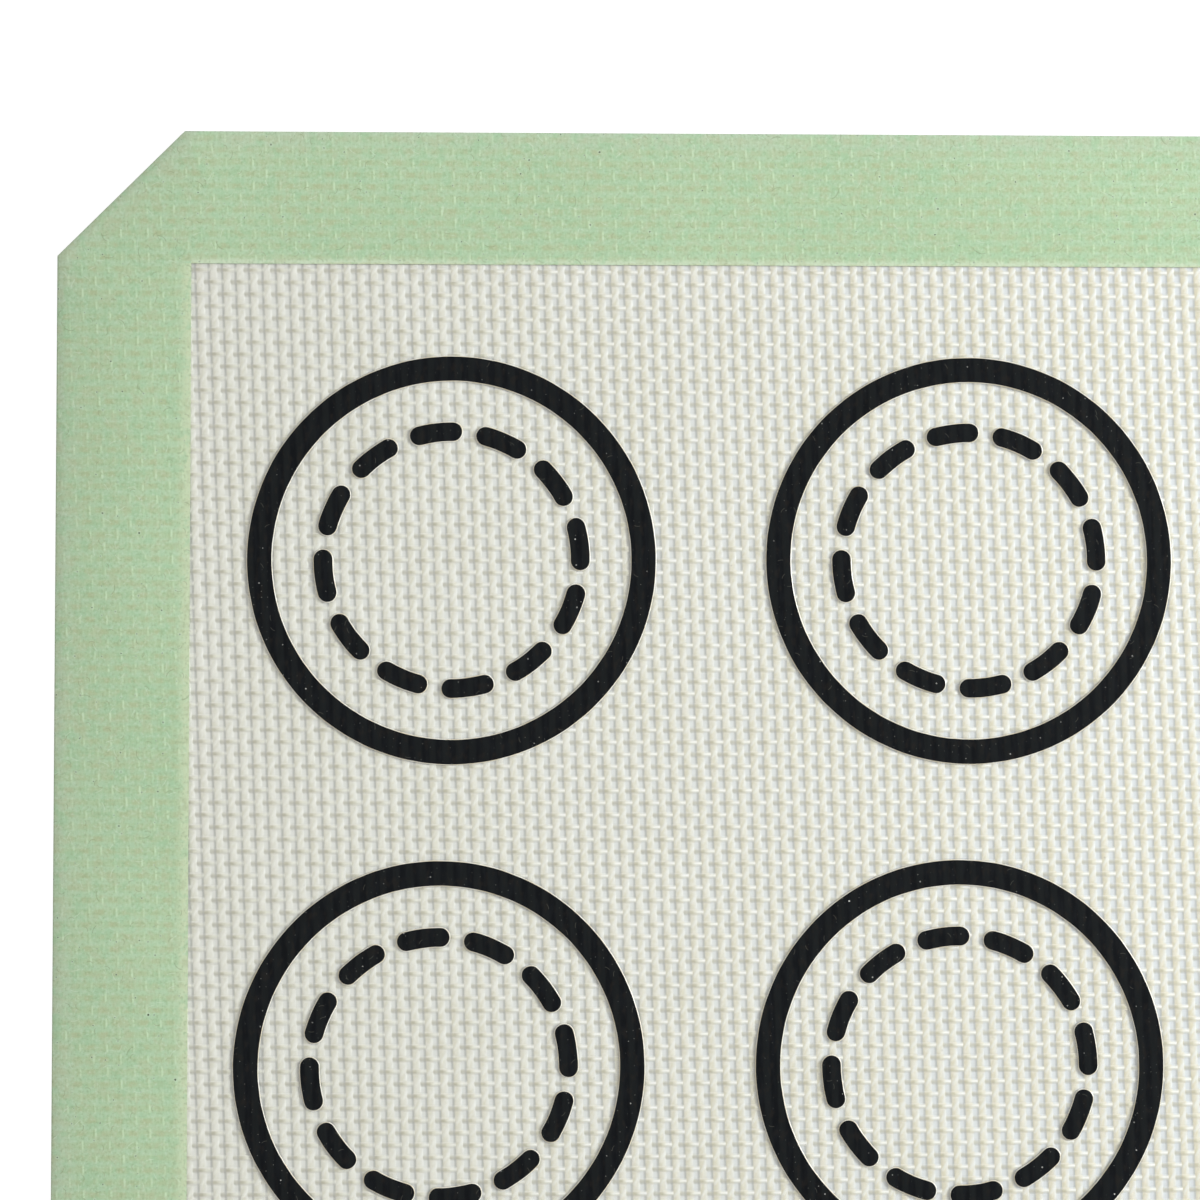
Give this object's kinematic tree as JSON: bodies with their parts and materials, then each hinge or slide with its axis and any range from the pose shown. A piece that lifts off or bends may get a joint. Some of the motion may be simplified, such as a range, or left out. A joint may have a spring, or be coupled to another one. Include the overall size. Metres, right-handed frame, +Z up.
{
  "type": "baking mat",
  "caption": "Thin flexible rectangular baking mat with cut corners: silicone-coated woven glass cloth, pale green edge band and printed ring guides for piping.",
  "frame": {"origin": "middle of the underside, on the surface that the mat lies on", "axes": "+X along the mat's length, +Y across it towards the picture's top edge, +Z up"},
  "size_m": [0.42, 0.295, 0.0008],
  "materials": {
    "cloth": "cream-white woven glass yarn, plain weave",
    "coat": "clear silicone, satin",
    "band": "pale green translucent silicone, satin",
    "ink": "black silicone ink, satin"
  },
  "bodies": {
    "root": {"bottom_coat": "coat", "glass_cloth": "cloth", "top_coat": "coat", "edge_band": "band", "guide_ring_1_1": "ink", "guide_ring_1_2": "ink", "guide_ring_1_3": "ink", "guide_ring_1_4": "ink", "guide_ring_1_5": "ink", "guide_ring_1_6": "ink", "guide_ring_2_1": "ink", "guide_ring_2_2": "ink", "guide_ring_2_3": "ink", "guide_ring_2_4": "ink", "guide_ring_2_5": "ink", "guide_ring_2_6": "ink", "guide_ring_3_1": "ink", "guide_ring_3_2": "ink", "guide_ring_3_3": "ink", "guide_ring_3_4": "ink", "guide_ring_3_5": "ink", "guide_ring_3_6": "ink", "guide_ring_4_1": "ink", "guide_ring_4_2": "ink", "guide_ring_4_3": "ink", "guide_ring_4_4": "ink", "guide_ring_4_5": "ink", "guide_ring_4_6": "ink"}
  },
  "joints": []
}
